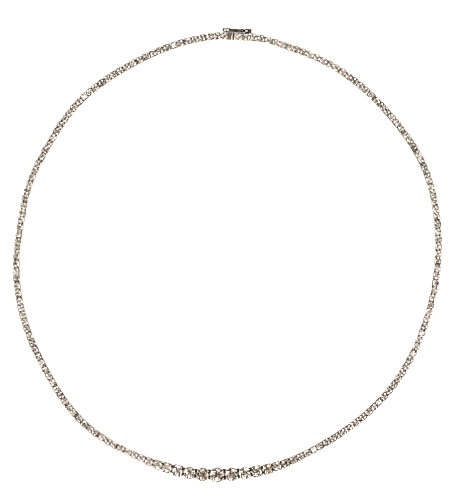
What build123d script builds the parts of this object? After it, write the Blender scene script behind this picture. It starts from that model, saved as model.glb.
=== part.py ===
from build123d import *
import math
import os

# A riviere necklace that lies flat: a closed row of claw-set stones, graduated at the front.
# Millimetres. +Z is up, the clasp is at +Y, the largest stone at -Y, and the underside is at z = 0.

# Size of the loop and of the units along it
NECKLACE_LENGTH = 420.0
CLASP_LENGTH = 11.6
GRADED_PER_SIDE = 8
SMALL_RIGHT = 76
SMALL_LEFT = 77
CENTRE_UNIT_LENGTH = 4.73
GRADING_POWER = 1.6
FRONT_BEARING = -3.1

# Outline of the loop as it lies. Bearing runs from the front through the right-hand side.
LOOP_CENTRE = (0.6, 1.4)
OUTLINE = [
    # (bearing in degrees, radius in mm)
    (0, 69.7),
    (12, 68.8),
    (27, 66.9),
    (50, 66.1),
    (72, 65.0),
    (90, 65.0),
    (112, 65.9),
    (132, 65.3),
    (152, 65.8),
    (163, 65.9),
    (171, 66.6),
    (180, 66.9),
    (192, 66.3),
    (208, 65.4),
    (225, 65.7),
    (240, 65.1),
    (252, 65.5),
    (262, 65.4),
    (280, 66.9),
    (303, 68.2),
    (320, 70.3),
    (334, 70.2),
    (350, 70.3),
]
OUTLINE_STEPS = 1440

# Lengths of row that the units take: the graded ones outwards from the centre, and a small one
GRADING = [(1 - n / (GRADED_PER_SIDE + 1)) ** GRADING_POWER for n in range(GRADED_PER_SIDE + 1)]
EVENLY = SMALL_RIGHT + SMALL_LEFT + 1 + 2 * GRADED_PER_SIDE - (2 * sum(GRADING) - 1)
SMALL_UNIT_LENGTH = (
    NECKLACE_LENGTH - CLASP_LENGTH - CENTRE_UNIT_LENGTH * (2 * sum(GRADING) - 1)
) / EVENLY
GRADED_LENGTHS = [
    SMALL_UNIT_LENGTH + (CENTRE_UNIT_LENGTH - SMALL_UNIT_LENGTH) * share for share in GRADING
]

# Heights of a small unit and of the centre one: girdle of the stone, and tip of the claws
SMALL_GIRDLE_Z = 1.50
CENTRE_GIRDLE_Z = 2.20
SMALL_CLAW_RISE = 0.25
CENTRE_CLAW_RISE = 0.45

# Clear lengths from the end of a unit's own stretch, at the claws and at the base
CLAW_MARGIN = 0.132
BASE_MARGIN = 0.53

# Stone proportions, as shares of the girdle's radius
TABLE_SHARE = 0.56
SQUARE_TABLE_SHARE = 0.70
CROWN_SHARE = 0.32
PAVILION_SHARE = 0.86
POCKET_SHARE = 0.92
STONE_GAP = 0.04
RIM_WALL = 0.08
SINGLE_CUT_UP_TO = 3.00
SIX_CLAWS_FROM = 3.70

# Eye at one end of a unit, and the hook of the next unit that passes down through it.
# Lengths along the row are measured from the plane between the two units.
EYE_NOSE = 0.33
EYE_HEIGHT = 0.22
SMALL_EYE_HALF = SMALL_UNIT_LENGTH / 2 - BASE_MARGIN
CENTRE_EYE_HALF = 1.30
EYE_HOLE_NEAR = -0.43
EYE_HOLE_FAR = 0.18
EYE_HOLE_HALF = 0.41
HOOK_WIDTH = 0.20
HOOK_TIP = (0.03, 0.03)
HOOK_INNER = (0.03, 0.36)
HOOK_UPPER = (-0.26, 0.62)
HOOK_ROOT = (0.60, 0.62)
HOOK_ROOT_LOW = (0.60, 0.36)

# Clasp, along the row from its middle, towards the tongue
BOX_END = 1.42
SLIT = 0.62
PLATE = 0.30
PLATE_HALF = 1.05
PLATE_TOP = 1.62
BOX_HALF = 0.98
BOX_TOP = 0.74
BOX_STONES = (-4.65, -2.38, -0.11)
TONGUE_STONE = 4.50
CLASP_UNIT_LENGTH = 2.30
CAVITY_START = -4.70
CAVITY_OVERCUT = 1.0
CAVITY_HALF = 0.70
CAVITY_FLOOR = 0.18
CAVITY_TOP = 0.58
LEAF_HALF = 0.52
LEAF_THICK = 0.11
LEAF_LOW = 0.24
LEAF_HIGH = 0.40
LEAF_FOLD = -3.60
LEAF_FOLD_LENGTH = 1.20
LEAF_SPRING_END = 1.00
RAIL_SIDE = 0.48
RAIL_HALF = 0.14
RAIL_TOP = 0.60
PLATE_OVERLAP = 0.10
RAIL_OVERLAP = 0.30

# Safety catch, beside the clasp's outer wall
END_FACETS = 4
CATCH_SIDE = -1.96
CATCH_LOW = 0.78
CATCH_HIGH = 1.12
CATCH_HINGE = -3.25
CATCH_LOOP = 4.06
LOOP_LENGTH = 2.50
LOOP_WIDTH = 1.24
LOOP_HOLE_LENGTH = 1.70
LOOP_HOLE_WIDTH = 0.80
WAIST_WIDTH = 0.72
BUMP_AT = -0.90
BUMP_RADIUS = 0.60
BUMP_HOLE_RADIUS = 0.16
BUMP_SIDES = 8
BUMP_HOLE_SIDES = 6
WAIST_OVERLAP = 0.30
KNUCKLE_SIDES = 10
LOBE_AT = -2.55
LOBE_LENGTH = 2.20
LOBE_HOLE_AT = -2.20
LOBE_HOLE_LENGTH = 0.90
LOBE_HOLE_WIDTH = 0.56
HINGE_RADIUS = 0.24
HINGE_CLEARANCE = 0.03
KNUCKLE_RADIUS = 0.46
KNUCKLE_HALF = 0.62
HINGE_Z = 0.95
HINGE_HEAD_RADIUS = 0.34
HINGE_HEAD = 0.14
HINGE_HEAD_SIDES = 8
PIN_ROOT = -0.78
LUG_HALF = 0.40
LUG_LOW = 0.44
LUG_SIDE = -1.10
LUG_ROOT = -0.60
STUD_RADIUS = 0.16
STUD_BALL_RADIUS = 0.31
STUD_BALL_Z = 1.50
STUD_ARM_HALF = 0.22
STUD_ARM_LOW = 0.20
STUD_ARM_HIGH = 0.52
STUD_ARM_ROOT = -0.50
STUD_SIDES = 6


def radius_at(bearing):
    """Radius of the loop at a bearing, on a smooth curve through the rows of the outline."""
    rows = [(b - 360, r) for b, r in OUTLINE] + OUTLINE + [(b + 360, r) for b, r in OUTLINE]
    i = max(k for k, row in enumerate(rows) if row[0] <= bearing)
    (b0, r0), (b1, r1), (b2, r2), (b3, r3) = rows[i - 1:i + 3]
    step = b2 - b1
    slope_in = (r2 - r0) / (b2 - b0)
    slope_out = (r3 - r1) / (b3 - b1)
    u = (bearing - b1) / step
    ease = u * u * (3 - 2 * u)
    swing = u * (1 - u) * ((1 - u) * slope_in - u * slope_out) * step
    return r1 + (r2 - r1) * ease + swing


def walk_the_loop():
    """Points along the loop and the length up to each, scaled to the necklace's length."""
    points = []
    for k in range(OUTLINE_STEPS + 1):
        bearing = FRONT_BEARING + 360 * k / OUTLINE_STEPS
        radius = radius_at(bearing % 360)
        angle = math.radians(bearing)
        points.append((radius * math.sin(angle), -radius * math.cos(angle)))
    lengths = [0.0]
    for a, b in zip(points, points[1:]):
        lengths.append(lengths[-1] + math.dist(a, b))
    scale = NECKLACE_LENGTH / lengths[-1]
    points = [(LOOP_CENTRE[0] + x * scale, LOOP_CENTRE[1] + y * scale) for x, y in points]
    return points, [s * scale for s in lengths]


LOOP_POINTS, LOOP_LENGTHS = walk_the_loop()


def point_at(s):
    """Point on the loop at a length from the middle of the front stone."""
    s = s % NECKLACE_LENGTH
    i = min(int(s / NECKLACE_LENGTH * OUTLINE_STEPS), OUTLINE_STEPS - 1)
    while LOOP_LENGTHS[i + 1] < s:
        i += 1
    while LOOP_LENGTHS[i] > s:
        i -= 1
    share = (s - LOOP_LENGTHS[i]) / (LOOP_LENGTHS[i + 1] - LOOP_LENGTHS[i])
    (x0, y0), (x1, y1) = LOOP_POINTS[i], LOOP_POINTS[i + 1]
    return (x0 + (x1 - x0) * share, y0 + (y1 - y0) * share)


def place_between(s0, s1):
    """Location whose X runs along the row from one length to another, set at their middle."""
    (x0, y0), (x1, y1) = point_at(s0), point_at(s1)
    heading = math.degrees(math.atan2(y1 - y0, x1 - x0))
    return Location(((x0 + x1) / 2, (y0 + y1) / 2, 0), (0, 0, heading))


def ring(radius, z, sides, turn=0.0):
    """Corners of a regular polygon about the Z axis."""
    return [
        (
            radius * math.cos(math.radians(turn + 360 * k / sides)),
            radius * math.sin(math.radians(turn + 360 * k / sides)),
            z,
        )
        for k in range(sides)
    ]


def flat_sided(apothem, z, sides):
    """Corners of a regular polygon, two for each flat side, the first side towards +X."""
    return ring(apothem / math.cos(math.pi / sides), z, sides, -180 / sides)


def faceted(faces):
    """Solid that is closed by flat faces."""
    return Solid(Shell([Face(Wire.make_polygon(corners)) for corners in faces]))


def bead(radius):
    """Small ball with flat facets."""
    belt = ring(radius, 0, 8)
    caps = [ring(radius * math.cos(math.pi / 4), side * radius * math.sin(math.pi / 4), 8)
            for side in (-1, 1)]
    faces = []
    for side, cap in zip((-1, 1), caps):
        for k in range(8):
            after = (k + 1) % 8
            faces.append([belt[k], belt[after], cap[after], cap[k]])
        faces.append(cap)
    return faceted(faces)


def extruded(corners, plane, depth):
    """Straight bar with the outline given on a plane, to both sides of it."""
    return extrude(plane * make_face(Polyline(*corners, close=True)), depth / 2, both=True)


def rounded_bar(length, width):
    """Flat outline with straight sides and faceted round ends."""
    inset = (length - width) / 2
    corners = []
    for end in (1, -1):
        for k in range(END_FACETS + 1):
            angle = math.pi * (k / END_FACETS - 0.5)
            x, y = inset + width / 2 * math.cos(angle), width / 2 * math.sin(angle)
            corners.append((end * x, end * y))
    return make_face(Polyline(*corners, close=True))


def block(x0, x1, y0, y1, z0, z1):
    """Box between two opposite corners."""
    middle = Location(((x0 + x1) / 2, (y0 + y1) / 2, (z0 + z1) / 2))
    return middle * Box(x1 - x0, y1 - y0, z1 - z0)


class Unit:
    """Sizes of one set stone, worked out from the length of row that it takes."""

    def __init__(self, length):
        share = (length - SMALL_UNIT_LENGTH) / (CENTRE_UNIT_LENGTH - SMALL_UNIT_LENGTH)
        self.length = length
        self.corners = 6 if length > SIX_CLAWS_FROM else 4
        self.eye_half = SMALL_EYE_HALF + (CENTRE_EYE_HALF - SMALL_EYE_HALF) * share
        self.girdle_z = SMALL_GIRDLE_Z + (CENTRE_GIRDLE_Z - SMALL_GIRDLE_Z) * share
        self.claw_z = self.girdle_z + SMALL_CLAW_RISE + (CENTRE_CLAW_RISE - SMALL_CLAW_RISE) * share
        self.base = length / 2 - BASE_MARGIN
        self.claw = length / 2 - CLAW_MARGIN
        self.girdle = self.base + (self.claw - self.base) * self.girdle_z / self.claw_z
        self.stone = self.girdle - RIM_WALL - STONE_GAP


def small_set_stone(unit):
    """Square collet whose raised corners are the claws, fused with its table-cut stone."""
    base = flat_sided(unit.base, 0, 4)
    tips = flat_sided(unit.claw, unit.claw_z, 4)
    girdle = flat_sided(unit.girdle, unit.girdle_z, 8)
    table_z = unit.girdle_z + CROWN_SHARE * unit.girdle
    table = ring(SQUARE_TABLE_SHARE * unit.girdle, table_z, 4)
    faces = [base, table]
    for k in range(4):
        right, left = girdle[2 * k], girdle[2 * k + 1]
        following = girdle[(2 * k + 2) % 8]
        after = (k + 1) % 4
        faces.append([base[k], base[after], tips[after], left, right, tips[k]])
        faces.append([left, following, tips[after]])
        faces.append([right, left, table[k]])
        faces.append([left, following, table[after], table[k]])
    return faceted(faces)


def single_cut(radius, girdle_z):
    """Small round stone with an eight-sided table, 8 crown facets and 8 pavilion facets."""
    table = ring(TABLE_SHARE * radius, girdle_z + CROWN_SHARE * radius, 8)
    girdle = ring(radius, girdle_z, 8)
    culet = (0, 0, girdle_z - PAVILION_SHARE * radius)
    faces = [table]
    for k in range(8):
        after = (k + 1) % 8
        faces.append([girdle[k], girdle[after], table[after], table[k]])
        faces.append([girdle[k], girdle[after], culet])
    return faceted(faces)


def brilliant(radius, girdle_z):
    """Round stone with an eight-sided table, 24 crown facets and 16 pavilion facets."""
    table = ring(TABLE_SHARE * radius, girdle_z + CROWN_SHARE * radius, 8)
    girdle = ring(radius, girdle_z, 16)
    culet = (0, 0, girdle_z - PAVILION_SHARE * radius)
    faces = [table]
    for k in range(8):
        corner, following = table[k], table[(k + 1) % 8]
        before, under, between, after = (girdle[(2 * k + j) % 16] for j in (-1, 0, 1, 2))
        faces.append([corner, before, under])
        faces.append([corner, under, between])
        faces.append([corner, between, following])
    for k in range(16):
        faces.append([girdle[k], girdle[(k + 1) % 16], culet])
    return faceted(faces)


def stone_for(unit):
    """The unit's stone: a brilliant, or a single cut where it is small."""
    cut = brilliant if unit.stone > SINGLE_CUT_UP_TO / 2 else single_cut
    return cut(unit.stone, unit.girdle_z)


def claw_setting(unit):
    """Collet with four or six corners, a pocket for the stone, a thin rim and a claw at each corner."""
    corners = unit.corners
    base = flat_sided(unit.base, 0, corners)
    tips = flat_sided(unit.claw, unit.claw_z, corners)
    pocket = flat_sided(unit.girdle - RIM_WALL, unit.girdle_z, 2 * corners)
    reach = abs(pocket[0][1])
    pocket_floor = (0, 0, unit.girdle_z - POCKET_SHARE * unit.stone)
    outer = []
    for k in range(corners):
        turn = 2 * math.pi * k / corners
        for side in (-reach, reach):
            outer.append((
                unit.girdle * math.cos(turn) - side * math.sin(turn),
                unit.girdle * math.sin(turn) + side * math.cos(turn),
                unit.girdle_z,
            ))
    faces = [base]
    for k in range(corners):
        right, left, following = 2 * k, 2 * k + 1, (2 * k + 2) % (2 * corners)
        after = (k + 1) % corners
        tip = tips[after]
        faces.append([base[k], base[after], tip, outer[left], outer[right], tips[k]])
        faces.append([outer[right], outer[left], pocket[left], pocket[right]])
        faces.append([outer[left], tip, pocket[left]])
        faces.append([pocket[left], tip, pocket[following]])
        faces.append([pocket[following], tip, outer[following]])
        faces.append([pocket[right], pocket[left], pocket_floor])
        faces.append([pocket[left], pocket[following], pocket_floor])
    return faceted(faces)


def eye(plane_x, root_x, half):
    """Flat eye at the foot of a unit, from inside its base to just past the plane between units."""
    outline = [
        (root_x, -half),
        (plane_x + EYE_NOSE, -half),
        (plane_x + EYE_NOSE, half),
        (root_x, half),
    ]
    hole = [
        (plane_x + EYE_HOLE_NEAR, 0),
        (plane_x + EYE_HOLE_FAR, -EYE_HOLE_HALF),
        (plane_x + EYE_HOLE_FAR, EYE_HOLE_HALF),
    ]
    plate = make_face(Polyline(*outline, close=True)) - make_face(Polyline(*hole, close=True))
    return extrude(plate, EYE_HEIGHT)


def hook(plane_x):
    """Hook that reaches back from a unit, over the neighbour's eye and down through it."""
    corners = (HOOK_TIP, HOOK_INNER, HOOK_ROOT_LOW, HOOK_ROOT, HOOK_UPPER)
    outline = [(plane_x + x, z) for x, z in corners]
    return extruded(outline, Plane.XZ, HOOK_WIDTH)


def linked(body, unit):
    """A unit's body with its eye ahead and its hook behind."""
    half = unit.length / 2
    return body + eye(half, unit.base, unit.eye_half) + hook(-half)


def stone_box_and_collets():
    """The clasp's hollow box with three collets, its mouth plate and the catch's hinge pin."""
    unit = Unit(CLASP_UNIT_LENGTH)
    start = -CLASP_LENGTH / 2
    body = block(start + BASE_MARGIN, BOX_END, -BOX_HALF, BOX_HALF, 0, BOX_TOP)
    body += block(BOX_END - PLATE, BOX_END, -PLATE_HALF, PLATE_HALF, 0, PLATE_TOP)
    for x in BOX_STONES:
        body += Pos(x, 0, 0) * claw_setting(unit)
    body -= block(CAVITY_START, BOX_END + CAVITY_OVERCUT, -CAVITY_HALF, CAVITY_HALF, CAVITY_FLOOR, CAVITY_TOP)
    outer_end = CATCH_SIDE - KNUCKLE_HALF - HINGE_CLEARANCE * 2
    pin_length = PIN_ROOT - outer_end + HINGE_HEAD
    pin_middle = Location((CATCH_HINGE, outer_end - HINGE_HEAD + pin_length / 2, HINGE_Z), (90, 0, 0))
    body += pin_middle * Cylinder(HINGE_RADIUS, pin_length)
    head = Location((CATCH_HINGE, outer_end, HINGE_Z), (90, 0, 0))
    body += head * extrude(RegularPolygon(HINGE_HEAD_RADIUS, HINGE_HEAD_SIDES), HINGE_HEAD)
    body += block(CATCH_HINGE - LUG_HALF, CATCH_HINGE + LUG_HALF, LUG_SIDE, LUG_ROOT,
                  LUG_LOW, HINGE_Z + LUG_HALF)
    return body + hook(start)


def tongue_and_leaf():
    """The tongue: collet, rails, end plate, folded leaf, and the ball stud of the catch."""
    unit = Unit(CLASP_UNIT_LENGTH)
    end = CLASP_LENGTH / 2
    plate_x = BOX_END + SLIT
    collet_start = TONGUE_STONE - unit.base
    body = Pos(TONGUE_STONE, 0, 0) * claw_setting(unit)
    body += block(plate_x, plate_x + PLATE, -PLATE_HALF, PLATE_HALF, 0, PLATE_TOP)
    for side in (-RAIL_SIDE, RAIL_SIDE):
        body += block(plate_x + PLATE_OVERLAP, collet_start + RAIL_OVERLAP,
                      side - RAIL_HALF, side + RAIL_HALF, 0, RAIL_TOP)
    body += block(TONGUE_STONE, end - BASE_MARGIN, -unit.base, unit.base, 0, RAIL_TOP)
    leaf = [
        (plate_x + PLATE_OVERLAP, LEAF_LOW),
        (LEAF_FOLD, LEAF_LOW),
        (LEAF_FOLD, LEAF_LOW + 2 * LEAF_THICK),
        (LEAF_SPRING_END, LEAF_HIGH + LEAF_THICK),
        (LEAF_SPRING_END, LEAF_HIGH),
        (LEAF_FOLD + LEAF_FOLD_LENGTH, LEAF_LOW + LEAF_THICK),
        (plate_x + PLATE_OVERLAP, LEAF_LOW + LEAF_THICK),
    ]
    body += extruded(leaf, Plane.XZ, 2 * LEAF_HALF)
    body += block(CATCH_LOOP - STUD_ARM_HALF, CATCH_LOOP + STUD_ARM_HALF,
                  CATCH_SIDE - STUD_ARM_HALF, STUD_ARM_ROOT, STUD_ARM_LOW, STUD_ARM_HIGH)
    stud = Pos(CATCH_LOOP, CATCH_SIDE, STUD_ARM_HIGH)
    body += stud * extrude(RegularPolygon(STUD_RADIUS, STUD_SIDES), STUD_BALL_Z - STUD_ARM_HIGH)
    body += Pos(CATCH_LOOP, CATCH_SIDE, STUD_BALL_Z) * bead(STUD_BALL_RADIUS)
    return body + eye(end, end - BASE_MARGIN, SMALL_EYE_HALF)


def figure_eight():
    """The safety catch: two loops and a bump in one flat piece, with the hinge's knuckle."""
    middle = (CATCH_HINGE + CATCH_LOOP) / 2
    outline = Pos(CATCH_LOOP, 0) * rounded_bar(LOOP_LENGTH, LOOP_WIDTH)
    waist_length = CATCH_LOOP - CATCH_HINGE - LOOP_LENGTH + 2 * WAIST_OVERLAP
    outline += Pos(middle, 0) * Rectangle(waist_length, WAIST_WIDTH)
    outline += Pos(BUMP_AT, 0) * RegularPolygon(BUMP_RADIUS, BUMP_SIDES)
    outline += Pos(LOBE_AT, 0) * rounded_bar(LOBE_LENGTH, LOOP_WIDTH)
    outline -= Pos(CATCH_LOOP, 0) * rounded_bar(LOOP_HOLE_LENGTH, LOOP_HOLE_WIDTH)
    outline -= Pos(BUMP_AT, 0) * RegularPolygon(BUMP_HOLE_RADIUS, BUMP_HOLE_SIDES)
    outline -= Pos(LOBE_HOLE_AT, 0) * rounded_bar(LOBE_HOLE_LENGTH, LOBE_HOLE_WIDTH)
    plate = Pos(0, CATCH_SIDE, CATCH_LOW) * extrude(outline, CATCH_HIGH - CATCH_LOW)
    axis = Location((CATCH_HINGE, CATCH_SIDE, HINGE_Z), (90, 0, 0))
    knuckle = axis * extrude(RegularPolygon(KNUCKLE_RADIUS, KNUCKLE_SIDES), KNUCKLE_HALF, both=True)
    bore = axis * Cylinder(HINGE_RADIUS + HINGE_CLEARANCE, 4 * KNUCKLE_HALF)
    return plate + knuckle - bore


def write(name, shapes):
    """One file for each node."""
    export_step(Compound(shapes) if len(shapes) > 1 else shapes[0], f"parts/{name}.step")


os.makedirs("parts", exist_ok=True)

# Graduated front, numbered from its left end to its right end
front_lengths = GRADED_LENGTHS[:0:-1] + GRADED_LENGTHS
end = -sum(front_lengths) / 2
for number, length in enumerate(front_lengths, start=1):
    unit = Unit(length)
    place = place_between(end, end + length)
    write(f"setting_{number:02}", [place * linked(claw_setting(unit), unit)])
    write(f"stone_{number:02}", [place * stone_for(unit)])
    end += length

# Small stones on either side, up to the clasp
small_unit = Unit(SMALL_UNIT_LENGTH)
small_link = linked(small_set_stone(small_unit), small_unit)
half_front = sum(front_lengths) / 2
right = [half_front + SMALL_UNIT_LENGTH * n for n in range(SMALL_RIGHT)]
left = [-half_front - SMALL_UNIT_LENGTH * (n + 1) for n in range(SMALL_LEFT)]
for name, starts in (("line_right", right), ("line_left", left)):
    write(name, [place_between(s, s + SMALL_UNIT_LENGTH) * small_link for s in starts])

# Clasp, on the straight line between the two rows' ends
clasp_start = right[-1] + SMALL_UNIT_LENGTH
clasp = place_between(clasp_start, clasp_start + CLASP_LENGTH)
write("clasp_box", [clasp * stone_box_and_collets()])
write("clasp_tongue", [clasp * tongue_and_leaf()])
write("safety_catch", [clasp * figure_eight()])
clasp_unit = Unit(CLASP_UNIT_LENGTH)
for number, x in enumerate(BOX_STONES + (TONGUE_STONE,), start=1):
    write(f"clasp_stone_{number:02}", [clasp * Pos(x, 0, 0) * stone_for(clasp_unit)])
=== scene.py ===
import math
import random

import bmesh
import bpy
from bpy.props import FloatProperty, FloatVectorProperty, IntProperty, PointerProperty
from mathutils import Matrix, Vector


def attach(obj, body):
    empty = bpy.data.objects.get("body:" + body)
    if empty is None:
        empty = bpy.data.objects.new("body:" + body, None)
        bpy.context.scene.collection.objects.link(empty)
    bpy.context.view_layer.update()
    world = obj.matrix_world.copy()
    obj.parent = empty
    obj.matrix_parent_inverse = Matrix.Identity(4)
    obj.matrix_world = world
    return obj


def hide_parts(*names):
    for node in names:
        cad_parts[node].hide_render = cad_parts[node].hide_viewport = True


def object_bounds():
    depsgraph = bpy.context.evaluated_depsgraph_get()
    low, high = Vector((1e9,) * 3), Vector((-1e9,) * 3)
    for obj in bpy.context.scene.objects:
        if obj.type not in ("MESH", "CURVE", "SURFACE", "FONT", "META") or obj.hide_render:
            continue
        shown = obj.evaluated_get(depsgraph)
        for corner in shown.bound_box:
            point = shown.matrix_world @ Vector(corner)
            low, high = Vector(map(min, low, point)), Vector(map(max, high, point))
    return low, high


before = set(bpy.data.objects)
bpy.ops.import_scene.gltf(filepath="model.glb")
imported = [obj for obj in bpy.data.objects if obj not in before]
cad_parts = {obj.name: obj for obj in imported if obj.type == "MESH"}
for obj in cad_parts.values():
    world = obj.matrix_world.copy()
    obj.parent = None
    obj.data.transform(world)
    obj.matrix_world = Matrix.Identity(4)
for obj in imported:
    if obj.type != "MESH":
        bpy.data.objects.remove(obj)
CAD_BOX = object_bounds()

bl_info = {
    "name": "Riviere necklace",
    "version": (1, 0, 0),
    "blender": (4, 5, 0),
    "location": "3D View > Sidebar > Necklace",
    "description": "A row of claw-set stones with a box clasp, built over its CAD frame",
    "category": "Object",
}

# Forms are worked out in millimetres and written to meshes in metres.
MM = 0.001

# The row of units, as in the part's source
NECKLACE_LENGTH = 420.0
CLASP_LENGTH = 11.6
GRADED_PER_SIDE = 8
SMALL_RIGHT = 76
SMALL_LEFT = 77
CENTRE_UNIT_LENGTH = 4.73
GRADING_POWER = 1.6
FRONT_BEARING = -3.1
LOOP_CENTRE = (0.6, 1.4)
OUTLINE_STEPS = 1440
OUTLINE = [
    # (bearing in degrees, radius in mm)
    (0, 69.7), (12, 68.8), (27, 66.9), (50, 66.1), (72, 65.0), (90, 65.0),
    (112, 65.9), (132, 65.3), (152, 65.8), (163, 65.9), (171, 66.6), (180, 66.9),
    (192, 66.3), (208, 65.4), (225, 65.7), (240, 65.1), (252, 65.5), (262, 65.4),
    (280, 66.9), (303, 68.2), (320, 70.3), (334, 70.2), (350, 70.3),
]
GRADING = [(1 - n / (GRADED_PER_SIDE + 1)) ** GRADING_POWER for n in range(GRADED_PER_SIDE + 1)]
EVENLY = SMALL_RIGHT + SMALL_LEFT + 1 + 2 * GRADED_PER_SIDE - (2 * sum(GRADING) - 1)
SMALL_UNIT_LENGTH = (
    NECKLACE_LENGTH - CLASP_LENGTH - CENTRE_UNIT_LENGTH * (2 * sum(GRADING) - 1)
) / EVENLY
GRADED_LENGTHS = [
    SMALL_UNIT_LENGTH + (CENTRE_UNIT_LENGTH - SMALL_UNIT_LENGTH) * share for share in GRADING
]
FRONT_LENGTHS = GRADED_LENGTHS[:0:-1] + GRADED_LENGTHS
HALF_FRONT = sum(FRONT_LENGTHS) / 2
CLASP_START = HALF_FRONT + SMALL_RIGHT * SMALL_UNIT_LENGTH
CLASP_UNIT_LENGTH = 2.30
SIX_CLAWS_FROM = 3.70
BOX_STONES = (-4.65, -2.38, -0.11)
TONGUE_STONE = 4.50

# Set stones: each size in the smallest unit and in the one at the centre of the front
STONE_RADIUS = (1.02, 2.15)
GIRDLE_HEIGHT = (1.50, 2.20)
CLAW_WIRE = (0.115, 0.200)
EYE_HALF = (0.62, 1.30)
# How far a setting's foot and its claws stay inside the unit's ends
BASE_MARGIN = 0.53
CLAW_MARGIN = 0.132
# How much wider a setting is across the row than along it
WIDER_ACROSS = 1.07

# Cut of the stones, as shares of the radius at the girdle
TABLE = 0.56
STAR = 0.76
LOWER_STAR = 0.24
CROWN_SLOPE = math.tan(math.radians(34.5))
PAVILION_SLOPE = math.tan(math.radians(40.8))
GIRDLE = 0.05

# Claws: the foot inside the collet's corner and the shaft outside the stone, as shares of the wire
CLAW_FOOT_IN = 0.8
CLAW_SHAFT_OUT = 0.35
# Least distance of the shaft from the axis, as a share of that of the unit's corner
CLAW_SHAFT_LEAST = 0.86
CLAW_ABOVE_FOOT = 0.03

# Collets: the rim's drop below the girdle, and how round the corners are at the foot and the rim
RIM_DROP = 0.05
FOOT_ROUNDNESS = 0.22
RIM_ROUNDNESS = {4: 0.30, 6: 0.75}
# How far a six-clawed rim stands out from its stone
RIM_OUT = 0.02
COLLET_WALL = [
    # (height above the foot as a share, outwards from the leaning wall)
    (0.0, -0.06), (0.05, 0.0), (0.15, 0.0), (0.20, -0.07),
    (0.62, -0.07), (0.67, 0.0), (0.95, 0.0), (1.0, -0.05),
]
# Inside of a collet, as shares of the stone's radius
SEAT_REACH = 0.88
SEAT_DROP = 0.14
WELL_REACH = 0.39
WELL_DEPTH = 0.62
WELL_FOOT = 0.30
# Walls that face a neighbour: from where along the unit and how far across, as shares of the claws'
FACING_FROM = 0.6
FACING_HALF = 0.5
# Height from which such a wall is cut down, and how much of the rest goes, as shares
CUT_FROM = 0.55
CUT_DOWN = 0.9

# Eye at a setting's foot, measured from the plane between two units
EYE_NOSE = 0.33
EYE_CORNER = 0.10
EYE_EDGE = 0.04
EYE_HEIGHT = 0.22
EYE_ROOT_IN = 0.05
EYE_HOLE_NEAR = -0.40
EYE_HOLE_FAR = 0.15
EYE_HOLE_HALF = 0.36
EYE_HOLE_NARROW = 0.10
EYE_HOLE_CORNER = 0.08
# How much wider an eye is than in the part's source, so that the eye, painted fully dark, covers
# the gap between units with painted shade
EYE_WIDER = 1.28
HOOK_PATH = [
    # (from the plane, height, thickness)
    (0.62, 0.50, 0.10),
    (0.20, 0.51, 0.10),
    (-0.06, 0.48, 0.10),
    (-0.17, 0.36, 0.10),
    (-0.13, 0.20, 0.09),
    (-0.05, 0.08, 0.06),
]

# Painted shade: under the stone, from a share of its radius inwards, and where two settings face,
# where shade falls
SHADE_INSIDE = 0.70
SHADE_INSIDE_FADE = 0.20
SHADE_FACING_FADE = 0.25
# Top of the painted shade above the girdle, and the height over which it fades
SHADE_TOP = 0.15
SHADE_TOP_FADE = 0.20
# How much painted shade some parts get, where 1 is full shade as in a deep recess
HOOK_SHADE = 0.7
RAIL_SHADE = 0.7
BALL_SHADE = 0.5


def radius_at(bearing):
    """Radius of the loop at a bearing, on a smooth curve through the rows of the outline."""
    rows = [(b - 360, r) for b, r in OUTLINE] + OUTLINE + [(b + 360, r) for b, r in OUTLINE]
    i = max(k for k, row in enumerate(rows) if row[0] <= bearing)
    (b0, r0), (b1, r1), (b2, r2), (b3, r3) = rows[i - 1:i + 3]
    step = b2 - b1
    slope_in = (r2 - r0) / (b2 - b0)
    slope_out = (r3 - r1) / (b3 - b1)
    u = (bearing - b1) / step
    ease = u * u * (3 - 2 * u)
    swing = u * (1 - u) * ((1 - u) * slope_in - u * slope_out) * step
    return r1 + (r2 - r1) * ease + swing


def walk_the_loop():
    """Points along the loop and the length up to each, scaled to the necklace's length."""
    points = []
    for k in range(OUTLINE_STEPS + 1):
        bearing = FRONT_BEARING + 360 * k / OUTLINE_STEPS
        radius = radius_at(bearing % 360)
        angle = math.radians(bearing)
        points.append((radius * math.sin(angle), -radius * math.cos(angle)))
    lengths = [0.0]
    for a, b in zip(points, points[1:]):
        lengths.append(lengths[-1] + math.dist(a, b))
    scale = NECKLACE_LENGTH / lengths[-1]
    points = [(LOOP_CENTRE[0] + x * scale, LOOP_CENTRE[1] + y * scale) for x, y in points]
    return points, [s * scale for s in lengths]


LOOP_POINTS, LOOP_LENGTHS = walk_the_loop()


def point_at(s):
    """Point on the loop at a length from the middle of the front stone."""
    s = s % NECKLACE_LENGTH
    i = max(k for k, length in enumerate(LOOP_LENGTHS[:-1]) if length <= s)
    share = (s - LOOP_LENGTHS[i]) / (LOOP_LENGTHS[i + 1] - LOOP_LENGTHS[i])
    (x0, y0), (x1, y1) = LOOP_POINTS[i], LOOP_POINTS[i + 1]
    return (x0 + (x1 - x0) * share, y0 + (y1 - y0) * share)


def place_between(s0, s1):
    """Matrix whose X runs along the row from one length to another, set at their middle."""
    (x0, y0), (x1, y1) = point_at(s0), point_at(s1)
    turn = Matrix.Rotation(math.atan2(y1 - y0, x1 - x0), 4, "Z")
    return Matrix.Translation(((x0 + x1) / 2, (y0 + y1) / 2, 0)) @ turn


CLASP_PLACE = place_between(CLASP_START, CLASP_START + CLASP_LENGTH)


def graded(sizes, share):
    """Size of a unit between the smallest and the one at the centre."""
    smallest, centre = sizes
    return smallest + (centre - smallest) * share


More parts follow.
